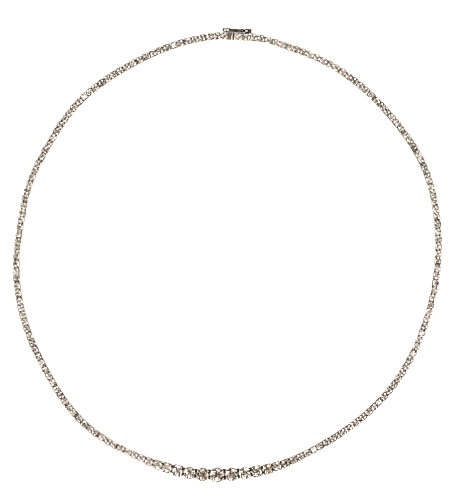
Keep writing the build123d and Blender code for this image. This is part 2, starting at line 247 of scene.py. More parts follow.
class Unit:
    """Sizes of one set stone, worked out from the length of row that it takes."""

    def __init__(self, length):
        share = (length - SMALL_UNIT_LENGTH) / (CENTRE_UNIT_LENGTH - SMALL_UNIT_LENGTH)
        self.half = length / 2
        self.base = self.half - BASE_MARGIN
        self.claw = self.half - CLAW_MARGIN
        self.stone = graded(STONE_RADIUS, share)
        self.girdle_z = graded(GIRDLE_HEIGHT, share)
        self.wire = graded(CLAW_WIRE, share)
        self.eye_half = graded(EYE_HALF, share)
        self.corners = 6 if length > SIX_CLAWS_FROM else 4


class Form:
    """Points in millimetres and the faces between them, gathered from closed shapes."""

    def __init__(self):
        self.points = []
        self.faces = []
        # How much painted shade each point gets, from 0 to 1
        self.recess = []

    def add(self, points, faces, recess=None):
        """A closed shape."""
        first = len(self.points)
        self.points += [Vector(p) for p in points]
        self.faces += [[first + i for i in face] for face in faces]
        self.recess += recess or [0.0] * len(points)

    def join(self, other, place=Matrix.Identity(4)):
        """Another form, set at a place."""
        self.add([place @ p for p in other.points], other.faces, other.recess)

    def at(self, place):
        """The same form, set at a place."""
        form = Form()
        form.join(self, place)
        return form

    def paint_shade(self, rule):
        """Marks how much painted shade each point gets, from 0 to 1, by a rule on its place."""
        self.recess = [min(max(rule(p), 0.0), 1.0) for p in self.points]
        return self

    def loft(self, rings, closed=False):
        """Skin over rings that have the same number of points."""
        sides, count = len(rings[0]), len(rings)
        faces = []
        for i in range(count if closed else count - 1):
            a, b = i * sides, (i + 1) % count * sides
            for k in range(sides):
                after = (k + 1) % sides
                faces.append([a + k, a + after, b + after, b + k])
        if not closed:
            faces.append(list(range(sides)))
            faces.append([(count - 1) * sides + k for k in range(sides)])
        self.add([p for ring in rings for p in ring], faces)

    def sweep(self, path, side, sections):
        """Bar along a flat path. side is across its plane. A section lists (across, outwards)."""
        path = [Vector(p) for p in path]
        side = Vector(side).normalized()
        rings = []
        for i, point in enumerate(path):
            before, after = path[max(i - 1, 0)], path[min(i + 1, len(path) - 1)]
            outwards = (after - before).normalized().cross(side)
            rings.append([point + side * a + outwards * b for a, b in sections[i]])
        self.loft(rings)

    def block(self, x0, x1, y0, y1, z0, z1, edge=0.06):
        """Box between two opposite corners, with its edges taken off."""
        rings = []
        for z, inset in ((z0, edge), (z0 + edge, 0), (z1 - edge, 0), (z1, edge)):
            rings.append(chamfered(x0 + inset, x1 - inset, y0 + inset, y1 - inset, edge, z))
        self.loft(rings)

    def mesh(self, name, crease=38):
        """Mesh in metres, shaded smooth up to a crease angle, or flat where that is zero."""
        mesh = bpy.data.meshes.new(name)
        mesh.from_pydata([p * MM for p in self.points], [], self.faces)
        work = bmesh.new()
        work.from_mesh(mesh)
        bmesh.ops.recalc_face_normals(work, faces=work.faces)
        work.to_mesh(mesh)
        work.free()
        # Painted shade of each point, which the metal's colour reads
        mesh.attributes.new("recess", "FLOAT", "POINT").data.foreach_set("value", self.recess)
        if crease:
            mesh.shade_smooth()
            mesh.set_sharp_from_angle(angle=math.radians(crease))
        return mesh


def chamfered(x0, x1, y0, y1, edge, z):
    """Rectangle with its corners cut, at a height."""
    return [
        (x0 + edge, y0, z), (x1 - edge, y0, z), (x1, y0 + edge, z), (x1, y1 - edge, z),
        (x1 - edge, y1, z), (x0 + edge, y1, z), (x0, y1 - edge, z), (x0, y0 + edge, z),
    ]


def oval(across, outwards, sides=6):
    """Section of a wire."""
    turns = [2 * math.pi * (k + 0.5) / sides for k in range(sides)]
    return [(across * math.cos(a), outwards * math.sin(a)) for a in turns]


def circle(radius, z, sides, turn=0.0, middle=(0, 0)):
    """Ring of points about a vertical axis."""
    angles = [math.radians(turn) + 2 * math.pi * k / sides for k in range(sides)]
    return [(middle[0] + radius * math.cos(a), middle[1] + radius * math.sin(a), z) for a in angles]


# Points on a rounded corner, and how much of a flat side lies between its own two points
CORNER_POINTS = 3
FLAT_SHARE = 0.5


def soft_polygon(apothem, z, corners, roundness):
    """Ring with flat sides, the first towards +X, and rounded corners between them."""
    corner = math.pi / corners
    bend = roundness * apothem
    reach = (apothem - bend) / math.cos(corner)
    along = (apothem - bend) * math.tan(corner) * FLAT_SHARE
    points = []
    for k in range(corners):
        flat, middle = 2 * k * corner, (2 * k + 1) * corner
        for shift in (-along, along):
            points.append((apothem * math.cos(flat) - shift * math.sin(flat),
                           apothem * math.sin(flat) + shift * math.cos(flat), z))
        x, y = reach * math.cos(middle), reach * math.sin(middle)
        for j in range(CORNER_POINTS):
            angle = middle + corner * (2 * j / (CORNER_POINTS - 1) - 1)
            points.append((x + bend * math.cos(angle), y + bend * math.sin(angle), z))
    return points


def brilliant(radius, girdle_z):
    """Round brilliant: table, stars, kites, halves above and below the girdle, and mains."""
    top = girdle_z + GIRDLE * radius / 2
    low = girdle_z - GIRDLE * radius / 2
    half_step = 180 / 8
    flat = math.cos(math.radians(half_step))
    table = circle(TABLE * radius, top + (1 - TABLE) * radius * CROWN_SLOPE, 8)
    star = circle(STAR * radius, top + (1 - STAR * flat) * radius * CROWN_SLOPE, 8, half_step)
    upper = circle(radius, top, 16)
    under = circle(radius, low, 16)
    lower_z = low - (1 - LOWER_STAR * flat) * radius * PAVILION_SLOPE
    lower = circle(LOWER_STAR * radius, lower_z, 8, half_step)
    culet = [(0, 0, low - radius * PAVILION_SLOPE)]
    points = table + star + upper + under + lower + culet
    # First point of each ring in the list
    t, s, u, v, w, c = 0, 8, 16, 32, 48, 56
    faces = [list(range(8))]
    for k in range(8):
        after, before = (k + 1) % 8, (k - 1) % 8
        faces.append([t + k, s + k, t + after])
        faces.append([t + k, s + before, u + 2 * k, s + k])
        faces.append([c, w + before, v + 2 * k, w + k])
        for first in (2 * k, 2 * k + 1):
            following = (first + 1) % 16
            faces.append([s + k, u + first, u + following])
            faces.append([w + k, v + first, v + following])
            faces.append([u + first, u + following, v + following, v + first])
    form = Form()
    form.add(points, faces)
    return form


def claw(unit, angle, foot_z):
    """One claw, from the foot of the collet over the girdle onto the crown."""
    form = Form()
    out = Vector((math.cos(angle), math.sin(angle), 0))
    wire, stone, girdle = unit.wire, unit.stone, unit.girdle_z
    corner = 1 / math.cos(math.pi / unit.corners)
    foot = unit.base * corner - CLAW_FOOT_IN * wire
    shaft = max(stone + CLAW_SHAFT_OUT * wire, unit.claw * corner * CLAW_SHAFT_LEAST)
    lean = (shaft - foot) / girdle
    middle_z = (foot_z + girdle) / 2
    path = [
        # (out from the axis, height, share of the wire across, share outwards)
        (foot + lean * foot_z, foot_z, 0.9, 0.9),
        (foot + lean * middle_z, middle_z, 0.95, 0.95),
        (shaft, girdle - RIM_DROP, 0.95, 0.75),
        (shaft - 0.10 * wire, girdle + 0.9 * wire, 1.0, 0.75),
        (stone + 0.15 * wire, girdle + 1.55 * wire, 1.0, 0.80),
        (stone - 0.9 * wire, girdle + 1.75 * wire, 0.85, 0.62),
        (stone - 1.9 * wire, girdle + 1.65 * wire, 0.45, 0.35),
    ]
    points = [out * d + Vector((0, 0, z)) for d, z, _, _ in path]
    sections = [oval(wire * a, wire * b) for _, _, a, b in path]
    form.sweep(points, (-out.y, out.x, 0), sections)
    return form


def collet(unit, foot_z):
    """Tapered wall, square or six-sided, cut down between the claws that face its neighbours."""
    form = Form()
    top = unit.girdle_z - RIM_DROP
    height = top - foot_z
    rim = unit.claw if unit.corners == 4 else unit.stone + RIM_OUT
    roundness = RIM_ROUNDNESS[unit.corners]
    rings = []
    for share, out in COLLET_WALL:
        apothem = unit.base + (rim - unit.base) * share + out
        bend = FOOT_ROUNDNESS + (roundness - FOOT_ROUNDNESS) * share
        rings.append(soft_polygon(apothem, foot_z + height * share, unit.corners, bend))
    inside = [
        # (reach as a share of the stone's radius, height)
        (SEAT_REACH, top - SEAT_DROP * unit.stone),
        (WELL_REACH, unit.girdle_z - PAVILION_SLOPE * unit.stone * WELL_DEPTH),
        (WELL_FOOT, foot_z),
    ]
    for reach, z in inside:
        rings.append(soft_polygon(unit.stone * reach, z, unit.corners, roundness))
    form.loft(rings, closed=True)
    for p in form.points:
        facing = abs(p.x) > FACING_FROM * unit.claw and abs(p.y) < FACING_HALF * unit.claw
        upper = (p.z - foot_z) / height - CUT_FROM
        if facing and upper > 0:
            p.z -= upper * CUT_DOWN * height
    return form


def basket(unit, foot_z=0.0):
    """Claw setting: the collet with a claw at each of its corners."""
    form = collet(unit, foot_z)
    for k in range(unit.corners):
        form.join(claw(unit, (2 * k + 1) * math.pi / unit.corners, foot_z + CLAW_ABOVE_FOOT))
    for p in form.points:
        p.y *= WIDER_ACROSS
    return form


def eye(plane_x, root_x, half):
    """Flat loop at the foot of a unit, which reaches past the plane between two units."""
    nose, corner = plane_x + EYE_NOSE, EYE_CORNER
    near, far = plane_x + EYE_HOLE_NEAR, plane_x + EYE_HOLE_FAR
    hole, cut = EYE_HOLE_HALF, EYE_HOLE_CORNER
    outer = [(root_x, -half), (nose - corner, -half), (nose, -half + corner),
             (nose, half - corner), (nose - corner, half), (root_x, half)]
    inner = [(near, -EYE_HOLE_NARROW), (far - cut, -hole), (far, -hole + cut),
             (far, hole - cut), (far - cut, hole), (near, EYE_HOLE_NARROW)]
    return pierced_plate(outer, inner, 0, EYE_HEIGHT, EYE_EDGE)


def hook(plane_x):
    """Bent wire that reaches over the neighbour's eye and down through it."""
    form = Form()
    points = [(plane_x + x, 0, z) for x, z, _ in HOOK_PATH]
    form.sweep(points, (0, 1, 0), [oval(t, t, 5) for _, _, t in HOOK_PATH])
    return form


def shade_between_units(unit):
    """Rule for the painted shade of a setting: dark under the stone and between neighbours, where
    shade falls.
    """
    def rule(p):
        inside = 1.0 - (math.hypot(p.x, p.y) / unit.stone - SHADE_INSIDE) / SHADE_INSIDE_FADE
        facing = (abs(p.x) - abs(p.y)) / (SHADE_FACING_FADE * unit.claw)
        under = (unit.girdle_z + SHADE_TOP - p.z) / SHADE_TOP_FADE
        return min(max(inside, facing), under)
    return rule


def linked_basket(unit):
    """Claw setting with its eye ahead and its hook behind, the eye painted fully dark and the hook
    partly, as painted shade between units.
    """
    form = basket(unit).paint_shade(shade_between_units(unit))
    ahead = eye(unit.half, unit.base - EYE_ROOT_IN, EYE_WIDER * unit.eye_half)
    # Painted shade: the eye fully dark, the hook partly dark
    form.join(ahead.paint_shade(lambda p: 1.0))
    form.join(hook(-unit.half).paint_shade(lambda p: HOOK_SHADE))
    return form


# Points round an outline, and the sides of a turned shape
ROUND = 16


def round_ends(size, middle):
    """Outline of a length and width with straight sides and round ends."""
    length, width = size
    inset = (length - width) / 2
    points = []
    for k in range(ROUND):
        angle = 2 * math.pi * (k + 0.5) / ROUND
        shift = inset if math.cos(angle) > 0 else -inset
        points.append((middle[0] + shift + width / 2 * math.cos(angle),
                       middle[1] + width / 2 * math.sin(angle)))
    return points


def pierced_plate(outer, inner, z0, z1, edge):
    """Flat ring between two outlines, with its four edges taken off."""
    form = Form()
    rings = []
    for start, finish in zip(outer, inner):
        a, b = Vector(start), Vector(finish)
        inwards = (b - a).normalized() * edge
        section = [
            (a, z0 + edge), (a, z1 - edge), (a + inwards, z1), (b - inwards, z1),
            (b, z1 - edge), (b, z0 + edge), (b - inwards, z0), (a + inwards, z0),
        ]
        rings.append([(p.x, p.y, z) for p, z in section])
    form.loft(rings, closed=True)
    return form


# Least radius of a turned shape, where its profile ends on the axis
TURNED_LEAST = 0.005


def turned(profile, place, sides=ROUND):
    """Shape turned about an axis. The profile lists (radius, along the axis)."""
    form = Form()
    form.loft([[place @ Vector(p) for p in circle(max(r, TURNED_LEAST), z, sides)]
               for r, z in profile])
    return form


# Box of the clasp, from the clasp's middle towards the tongue. A _Z is a low and a high height
BOX_START = -5.27
BOX_END = 1.42
BOX_BACK = -4.70
BOX_HALF = 1.08
BOX_TOP = 0.74
SLOT_HALF = 0.70
SHEET_HALF = 0.90
SHEET_IN = 0.04
FLOOR_TOP = 0.18
LID_LOW = 0.58
COLLET_FOOT = 0.60
# Plates on either side of the slit between box and tongue
SLIT = 0.62
PLATE = 0.30
PLATE_HALF = 1.17
PLATE_TOP = 1.62
CHEEK_TOP = 0.80
# Ledge beside the box, painted fully dark as painted shade, and shoulder under the rails
LEDGE_SIDE = -1.30
LEDGE_START = 0.20
LEDGE_Z = (0.34, 0.66)
SHOULDER_SIDE = 0.98
SHOULDER_GAP = 0.06
SHOULDER_Z = (0.10, 0.42)
SHOULDER_ROOT = 0.50
SHOULDER_TOP = 0.30
# Tongue: its foot under the collet, the rails, and the leaf that is folded back on itself
FOOT_LENGTH = 0.77
FOOT_HALF = 0.62
TONGUE_EYE_ROOT = 0.60
RAIL_SIDE = 0.48
RAIL_HALF = 0.14
RAIL_TOP = 0.60
RAIL_ROOT = 0.30
OVERLAP = 0.10
LEAF_END = -3.60
LEAF_HALF = 0.52
LEAF_Z = (0.24, 0.35)
SPRING_HALF = 0.05
SPRING_PATH = [
    # (along the clasp, height)
    (-3.60, 0.30), (-3.64, 0.36), (-3.55, 0.41), (-2.40, 0.43), (1.00, 0.455),
]
# Edges taken off the clasp's thin sheets and bars
THIN_EDGE = 0.03
LEAF_EDGE = 0.02
BAR_EDGE = 0.05
LUG_EDGE = 0.10

# Safety catch and its hinge
CATCH_SIDE = -1.96
CATCH_LOW = 0.78
CATCH_HIGH = 1.12
CATCH_EDGE = 0.09
CATCH_HINGE = -3.25
HINGE_Z = 0.95
HINGE_AXIS = (
    Matrix.Translation((CATCH_HINGE, CATCH_SIDE, HINGE_Z)) @ Matrix.Rotation(math.pi / 2, 4, "X")
)
LUG_HALF = 0.40
LUG_SIDE = -1.10
LUG_ROOT = -0.60
LUG_LOW = 0.44
PIN = [(0.24, -0.9), (0.24, 0.70)]
PIN_HEAD = [(0.30, 0.68), (0.34, 0.73), (0.34, 0.79), (0.26, 0.86), (0.0, 0.90)]
KNUCKLE = [(0.46, -0.58), (0.42, -0.62), (0.27, -0.62), (0.27, 0.62), (0.42, 0.62), (0.46, 0.58)]
# Loop, lobe and bump of the figure-eight
CATCH_LOOP = 4.06
LOOP_SIZE = (2.50, 1.24)
LOOP_HOLE = (1.70, 0.80)
LOBE_AT = -2.55
LOBE_SIZE = (2.20, 1.24)
LOBE_HOLE_AT = -2.20
LOBE_HOLE = (0.90, 0.56)
BUMP_AT = -0.90
BUMP_RADIUS = 0.60
BUMP_HOLE = 0.16
BUMP_RISE = 0.01
BUMP_EDGE = 0.08
WAISTS = [
    # (from, to, inner side, outer side, drop of its faces, edge)
    (-1.70, -1.35, -0.30, 0.30, 0.02, 0.08),
    (-0.50, 2.95, -0.42, 0.56, 0.0, 0.10),
]
# Ball stud that the loop closes over
ARM_HALF = 0.22
ARM_ROOT = -0.50
ARM_Z = (0.20, 0.52)
POST = [(0.16, 0.45), (0.16, 1.35)]
BALL_RADIUS = 0.31
BALL_Z = 1.50
BALL_STEPS = 8


def clasp_box():
    """The box, its mouth plate, three collets, hinge lug and pin, and the hook at its end."""
    form = Form()
    unit = Unit(CLASP_UNIT_LENGTH)
    mouth = BOX_END - PLATE
    for y0, y1 in ((-BOX_HALF, -SLOT_HALF), (SLOT_HALF, BOX_HALF)):
        form.block(BOX_START, BOX_END, y0, y1, 0, BOX_TOP)
    for z0, z1 in ((0, FLOOR_TOP), (LID_LOW, BOX_TOP)):
        form.block(BOX_START + SHEET_IN, BOX_END, -SHEET_HALF, SHEET_HALF, z0, z1, THIN_EDGE)
    form.block(BOX_START, BOX_BACK, -SHEET_HALF, SHEET_HALF, 0, BOX_TOP)
    shaded_ledge = Form()
    shaded_ledge.block(BOX_START + LEDGE_START, mouth, LEDGE_SIDE, -SHEET_HALF, *LEDGE_Z, BAR_EDGE)
    # Painted shade: the ledge is painted fully dark
    form.join(shaded_ledge.paint_shade(lambda p: 1.0))
    form.block(mouth, BOX_END, -PLATE_HALF, PLATE_HALF, LID_LOW, PLATE_TOP)
    for y0, y1 in ((-PLATE_HALF, -SLOT_HALF), (SLOT_HALF, PLATE_HALF)):
        form.block(mouth, BOX_END, y0, y1, 0, CHEEK_TOP)
    seat = basket(unit, COLLET_FOOT).paint_shade(shade_between_units(unit))
    for x in BOX_STONES:
        form.join(seat, Matrix.Translation((x, 0, 0)))
    form.block(CATCH_HINGE - LUG_HALF, CATCH_HINGE + LUG_HALF, LUG_SIDE, LUG_ROOT,
               LUG_LOW, HINGE_Z + LUG_HALF, LUG_EDGE)
    form.join(turned(PIN, HINGE_AXIS, 20))
    form.join(turned(PIN_HEAD, HINGE_AXIS))
    form.join(hook(-CLASP_LENGTH / 2))
    return form


def clasp_tongue():
    """The tongue's collet, plate, rails and folded leaf, and the ball stud of the catch."""
    form = Form()
    unit = Unit(CLASP_UNIT_LENGTH)
    plate_x = BOX_END + SLIT
    root_x = plate_x + OVERLAP
    form.join(basket(unit).paint_shade(shade_between_units(unit)), Matrix.Translation((TONGUE_STONE, 0, 0)))
    form.block(plate_x, plate_x + PLATE, -PLATE_HALF, PLATE_HALF, 0, PLATE_TOP)
    form.block(TONGUE_STONE, TONGUE_STONE + FOOT_LENGTH, -FOOT_HALF, FOOT_HALF, 0, RAIL_TOP)
    inner = Form()
    for side in (-RAIL_SIDE, RAIL_SIDE):
        inner.block(root_x, TONGUE_STONE - RAIL_ROOT, side - RAIL_HALF, side + RAIL_HALF,
                    0, RAIL_TOP, BAR_EDGE)
    inner.block(LEAF_END, root_x, -LEAF_HALF, LEAF_HALF, *LEAF_Z, LEAF_EDGE)
    inner.block(BOX_END + SHOULDER_GAP, root_x, LEDGE_SIDE, SHOULDER_SIDE, *SHOULDER_Z, THIN_EDGE)
    inner.block(root_x, TONGUE_STONE - SHOULDER_ROOT, LEDGE_SIDE, SHOULDER_SIDE,
                0, SHOULDER_TOP, THIN_EDGE)
    flat = [(-LEAF_HALF, -SPRING_HALF), (LEAF_HALF, -SPRING_HALF),
            (LEAF_HALF, SPRING_HALF), (-LEAF_HALF, SPRING_HALF)]
    spring = [(x, 0, z) for x, z in SPRING_PATH]
    inner.sweep(spring, (0, 1, 0), [flat] * len(spring))
    # Painted shade: the parts inside the box fully dark, the rails outside it partly
    form.join(inner.paint_shade(lambda p: 1.0 if p.x < plate_x else RAIL_SHADE))
    form.block(CATCH_LOOP - ARM_HALF, CATCH_LOOP + ARM_HALF,
               CATCH_SIDE - ARM_HALF, ARM_ROOT, *ARM_Z)
    post = Matrix.Translation((CATCH_LOOP, CATCH_SIDE, 0))
    form.join(turned(POST, post, 12))
    angles = [math.pi * k / BALL_STEPS for k in range(BALL_STEPS + 1)]
    ball = [(BALL_RADIUS * math.sin(a), BALL_Z - BALL_RADIUS * math.cos(a)) for a in angles]
    # Painted shade: the ball is half dark
    form.join(turned(ball, post).paint_shade(lambda p: BALL_SHADE))
    end = CLASP_LENGTH / 2
    form.join(eye(end, end - TONGUE_EYE_ROOT, EYE_HALF[0]))
    return form


def safety_catch():
    """Figure-eight: loop round the stud, waist, pierced bump, and lobe on the hinge's knuckle."""
    form = Form()
    low, high, side = CATCH_LOW, CATCH_HIGH, CATCH_SIDE
    for size, x, hole, hole_x in ((LOOP_SIZE, CATCH_LOOP, LOOP_HOLE, CATCH_LOOP),
                                  (LOBE_SIZE, LOBE_AT, LOBE_HOLE, LOBE_HOLE_AT)):
        outer, inner = round_ends(size, (x, side)), round_ends(hole, (hole_x, side))
        form.join(pierced_plate(outer, inner, low, high, CATCH_EDGE))
    outer, inner = (circle(r, 0, ROUND, 0, (BUMP_AT, side)) for r in (BUMP_RADIUS, BUMP_HOLE))
    form.join(pierced_plate(outer, inner, low - BUMP_RISE, high + BUMP_RISE, BUMP_EDGE))
    for x0, x1, y0, y1, drop, edge in WAISTS:
        form.block(x0, x1, side + y0, side + y1, low + drop, high - drop, edge)
    rings = [[HINGE_AXIS @ Vector(p) for p in circle(r, z, 20)] for r, z in KNUCKLE]
    form.loft(rings, closed=True)
    return form


# Shader nodes


class Nodes:
    """Short calls for a node tree."""

    def __init__(self, tree):
        self.tree = tree

    def add(self, kind, **settings):
        """A node, with its properties set."""
        node = self.tree.nodes.new(kind)
        for name, value in settings.items():
            setattr(node, name, value)
        return node

    def link(self, start, finish):
        """A wire between two sockets."""
        self.tree.links.new(start, finish)

    def wire(self, node, wires):
        """The node, with wires from other sockets to its inputs, by their names."""
        for name, start in wires.items():
            self.link(start, node.inputs[name])
        return node

    def math(self, operation, *values):
        """The result of a sum on sockets and numbers."""
        node = self.add("ShaderNodeMath", operation=operation)
        for socket, value in zip(node.inputs, values):
            if isinstance(value, bpy.types.NodeSocket):
                self.link(value, socket)
            else:
                socket.default_value = value
        return node.outputs[0]

    def blend(self, factor, first, second):
        """A colour between two, by a factor that comes from a socket."""
        mix = self.wire(self.add("ShaderNodeMix", data_type="RGBA"), {"Factor": factor})
        set_inputs(mix, {"A": (*first, 1), "B": (*second, 1)})
        return mix.outputs["Result"]

    def noise(self, place, detail=2.0):
        """A noise node that reads its place from a socket."""
        noise = self.wire(self.add("ShaderNodeTexNoise"), {"Vector": place})
        set_inputs(noise, {"Detail": detail})
        return noise

    def rise(self, value, span, **settings):
        """0 to 1 over a span of the values that come from a socket."""
        rise = self.wire(self.add("ShaderNodeMapRange", **settings), {"Value": value})
        set_inputs(rise, {"From Min": span[0], "From Max": span[1]})
        return rise.outputs["Result"]


def set_inputs(node, values):
    """Constants on a node's own sockets."""
    for name, value in values.items():
        node.inputs[name].default_value = value


# Marks on the metal: the broad pattern, how much finer the other is, and where patches are worn
WEAR_SCALE = 900.0
WEAR_SPREAD = 0.10
BROAD_DETAIL = 3.0
FINER = 6.0
PATCHES = (0.52, 0.80)
# What full painted shade, as in a deep recess, adds to the roughness
SHADE_ROUGHNESS = 0.5
DENT_STRENGTH = 0.12
DENT_DEPTH = 0.02
# Tint of the metal where it is seen at a slant
EDGE_TINT = (0.72, 0.62, 0.52)


def wear_and_shade_group():
    """Fine dents and worn patches of metal, from the piece's coordinates, and painted shade in
    recesses.
    """
    tree = bpy.data.node_groups.new("fine_wear", "ShaderNodeTree")
    face = tree.interface
    face.new_socket("Coordinates", in_out="INPUT", socket_type="NodeSocketVector")
    inputs = (("Scale", WEAR_SCALE), ("Roughness", 0.0), ("Spread", WEAR_SPREAD), ("Recess", 0.0))
    for name, value in inputs:
        face.new_socket(name, in_out="INPUT", socket_type="NodeSocketFloat").default_value = value
    for name in ("Roughness", "Height", "Grime", "Clean"):
        face.new_socket(name, in_out="OUTPUT", socket_type="NodeSocketFloat")
    n = Nodes(tree)
    start, finish = n.add("NodeGroupInput"), n.add("NodeGroupOutput")
    given, out = start.outputs, finish.inputs
    broad = n.noise(given["Coordinates"], BROAD_DETAIL)
    n.link(given["Scale"], broad.inputs["Scale"])
    fine = n.noise(given["Coordinates"])
    n.link(n.math("MULTIPLY", given["Scale"], FINER), fine.inputs["Scale"])
    n.link(fine.outputs["Fac"], out["Height"])
    spread = n.math("MULTIPLY", broad.outputs["Fac"], given["Spread"])
    rough = n.math("ADD", spread, given["Roughness"])
    n.link(n.math("MULTIPLY_ADD", given["Recess"], SHADE_ROUGHNESS, rough), out["Roughness"])
    patches = n.rise(broad.outputs["Fac"], PATCHES)
    # Worn patches, and painted shade where the metal is painted dark
    n.link(n.math("MAXIMUM", patches, given["Recess"]), out["Grime"])
    # Metal in painted shade loses its shine
    n.link(n.math("SUBTRACT", 1.0, given["Recess"]), out["Clean"])
    return tree


def new_material(name):
    """A material, with the calls for its nodes and its shader."""
    material = bpy.data.materials.new(name)
    material.use_nodes = True
    tree = material.node_tree
    return material, Nodes(tree), tree.nodes["Principled BSDF"]


def gold_material(name, colour, grime_and_shade, roughness):
    """White gold with fine wear, and painted shade that makes it dark and dull in its recesses."""
    material, n, shader = new_material(name)
    set_inputs(shader, {"Specular Tint": (*EDGE_TINT, 1)})
    wear = bpy.data.node_groups.get("fine_wear") or wear_and_shade_group()
    place = n.add("ShaderNodeTexCoord")
    recess = n.add("ShaderNodeAttribute", attribute_name="recess")
    marks = n.wire(n.add("ShaderNodeGroup", node_tree=wear), {
        "Coordinates": place.outputs["Object"],
        "Recess": recess.outputs["Fac"],
    })
    set_inputs(marks, {"Roughness": roughness})
    bump = n.wire(n.add("ShaderNodeBump"), {"Height": marks.outputs["Height"]})
    set_inputs(bump, {"Strength": DENT_STRENGTH, "Distance": DENT_DEPTH * MM})
    # Colour and shine fall to the dark colour in worn patches and in painted shade
    n.wire(shader, {
        "Base Color": n.blend(marks.outputs["Grime"], colour, grime_and_shade),
        "Metallic": marks.outputs["Clean"],
        "Roughness": marks.outputs["Roughness"],
        "Normal": bump.outputs["Normal"],
    })
    return material


DIAMOND_IOR = 2.417


def diamond_material(name, light, dark):
    """Cut stone: clear, strongly refracting, with a slight change of tint from facet to facet that
    paints dark reflections.
    """
    material, n, shader = new_material(name)
    set_inputs(shader, {"Transmission Weight": 1.0, "IOR": DIAMOND_IOR, "Roughness": 0.0})
    facet = n.add("ShaderNodeAttribute", attribute_name="facet")
    # The dark end is a painted dark reflection
    n.link(n.blend(facet.outputs["Fac"], light, dark), shader.inputs["Base Color"])
    return material


# The floor's finish, with a soft glow of its own, and the grain that darkens it a little
PAPER = {
    "Roughness": 0.9,
    "Specular IOR Level": 0.1,
    "Emission Color": (0.96, 0.97, 1.0, 1),
    "Emission Strength": 0.42,
}
GRAIN_SCALE = 400.0
GRAIN_DARKER = 0.985


def paper_material(name, colour):
    """Matt pale floor."""
    material, n, shader = new_material(name)
    set_inputs(shader, PAPER)
    place = n.add("ShaderNodeTexCoord")
    grain = n.noise(place.outputs["Object"])
    set_inputs(grain, {"Scale": GRAIN_SCALE})
    darker = [GRAIN_DARKER * c for c in colour]
    n.link(n.blend(grain.outputs["Fac"], colour, darker), shader.inputs["Base Color"])
    return material


GOLDS = {
    # name: (its colour among the finish settings, least roughness)
    "polished_white_gold": ("gold", 0.12),
    "worn_white_gold": ("gold", 0.18),
    # The catch's white gold, painted dark brown: painted shade
    "tarnished_white_gold": ("catch_shade", 0.14),
}


def finish_of(name):
    """The named material, made the first time that a piece asks for it."""
    made = bpy.data.materials.get(name)
    if made:
        return made
    colours = bpy.context.scene.necklace_finish
    if name == "cut_diamond":
        return diamond_material(name, colours.diamond, colours.diamond_dark_reflection)
    if name in GOLDS:
        colour, roughness = GOLDS[name]
        return gold_material(name, getattr(colours, colour), colours.gold_grime_and_shade, roughness)
    raise RuntimeError(f"there is no finish named {name}")


# Pieces


def new_object(name, data):
    """An object that holds the data, linked to the scene."""
    obj = bpy.data.objects.new(name, data)
    bpy.context.scene.collection.objects.link(obj)
    return obj


def piece(name, mesh, finish, nodes, body="necklace"):
    """A finished piece that rides on a body and stands for its nodes."""
    if not mesh.materials:
        mesh.materials.append(finish_of(finish))
    obj = new_object(name, mesh)
    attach(obj, body)
    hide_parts(*nodes)


# How far the painted reflections of the facets lean to the light end, in the small stones and in
# the others
SMALL_REFLECTION_BIAS = 3.2
REFLECTION_BIAS = 2.4
# Keeps the clasp's choice of turns and painted facet reflections apart from the front's
CLASP_SEED_SHIFT = 50


def painted_facet_reflections(mesh, seed, bias=REFLECTION_BIAS):
    """A value for each facet, which its tint reads: how far it is painted towards a dark
    reflection. A higher bias leaves more facets light.
    """
    chance = random.Random(seed)
    values = [chance.random() ** bias for _ in mesh.polygons]
    mesh.attributes.new("facet", "FLOAT", "FACE").data.foreach_set("value", values)


def set_stones(name, node, seats, turn, seed):
    """Brilliants in their seats, each turned about its own axis by chance."""
    chance = random.Random(seed)
    for number, unit, place in seats:
        own = Matrix.Rotation(chance.uniform(-turn, turn), 4, "Z")
        stone = brilliant(unit.stone, unit.girdle_z).at(place @ own)
        mesh = stone.mesh(f"{name}_{number:02}", crease=0)
        painted_facet_reflections(mesh, seed + number)
        piece(mesh.name, mesh, "cut_diamond", [f"{node}_{number:02}"])


